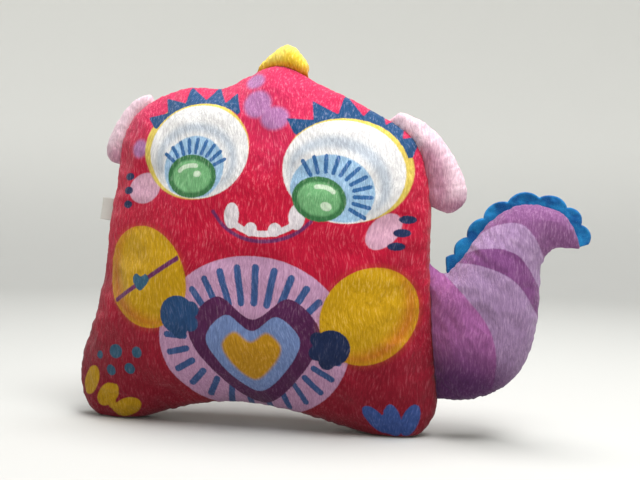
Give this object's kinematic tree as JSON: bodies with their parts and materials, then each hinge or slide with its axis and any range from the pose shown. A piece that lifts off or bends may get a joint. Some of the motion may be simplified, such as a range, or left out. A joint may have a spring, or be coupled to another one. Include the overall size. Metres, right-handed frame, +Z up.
{
  "type": "stuffed plush monster",
  "caption": "Flat pillow-shaped stuffed plush monster, printed in bright colours, with stuffed ears, a horn and an upturned striped tail with a felt crest.",
  "frame": {"origin": "on the floor under the middle of the toy's bounding box, tail included", "axes": "+X towards the tail, the viewer's right; the printed front faces -Y; +Z up"},
  "size_m": [0.4426, 0.116, 0.331],
  "materials": {
    "printed_plush": "short-pile plush printed in colours, ground crimson",
    "ear_plush": "short-pile plush printed pale pink with soft rose shading",
    "horn_plush": "short-pile plush printed yellow",
    "tail_plush": "short-pile plush printed in lilac and plum bands",
    "crest_felt": "matt wool-like felt with cut edges",
    "woven_ribbon": "plain woven satin ribbon, no print",
    "sewing_thread": "two-ply polyester sewing thread",
    "polyester_filling": "loose white polyester fibre"
  },
  "bodies": {
    "body": {"body_front_panel": "printed_plush", "body_back_panel": "printed_plush", "body_filling": "polyester_filling", "body_seam_thread": "sewing_thread", "closing_stitches": "sewing_thread"},
    "left_ear": {"left_ear_front_panel": "ear_plush", "left_ear_back_panel": "ear_plush", "left_ear_filling": "polyester_filling", "left_ear_seam_thread": "sewing_thread"},
    "right_ear": {"right_ear_front_panel": "ear_plush", "right_ear_back_panel": "ear_plush", "right_ear_filling": "polyester_filling", "right_ear_seam_thread": "sewing_thread"},
    "horn": {"horn_front_panel": "horn_plush", "horn_back_panel": "horn_plush", "horn_filling": "polyester_filling", "horn_seam_thread": "sewing_thread"},
    "tail": {"tail_front_panel": "tail_plush", "tail_back_panel": "tail_plush", "tail_filling": "polyester_filling", "tail_seam_thread": "sewing_thread", "tail_crest": "crest_felt"},
    "label": {"side_label": "woven_ribbon"}
  },
  "joints": [
    {"name": "tail_swing", "type": "hinge", "parent": "body", "child": "tail", "pos_m": [0.09746, 0, 0.092], "axis": [-0.0852, 0, 0.9964], "range_deg": [-25, 25], "stiffness_Nm_per_rad": 0.06},
    {"name": "left_ear_fold", "type": "hinge", "parent": "body", "child": "left_ear", "pos_m": [-0.17894, 0, 0.2603], "axis": [0.475, 0, 0.88], "range_deg": [-30, 30], "stiffness_Nm_per_rad": 0.012},
    {"name": "right_ear_fold", "type": "hinge", "parent": "body", "child": "right_ear", "pos_m": [0.08206, 0, 0.2418], "axis": [-0.493, 0, 0.87], "range_deg": [-30, 30], "stiffness_Nm_per_rad": 0.02},
    {"name": "horn_fold", "type": "hinge", "parent": "body", "child": "horn", "pos_m": [-0.03644, 0, 0.3127], "axis": [1, 0, 0], "range_deg": [-20, 20], "stiffness_Nm_per_rad": 0.012},
    {"name": "label_flip", "type": "hinge", "parent": "body", "child": "label", "pos_m": [-0.19164, 0, 0.185], "axis": [0.139, 0, 0.9903], "range_deg": [-70, 70], "stiffness_Nm_per_rad": 0.0004}
  ]
}
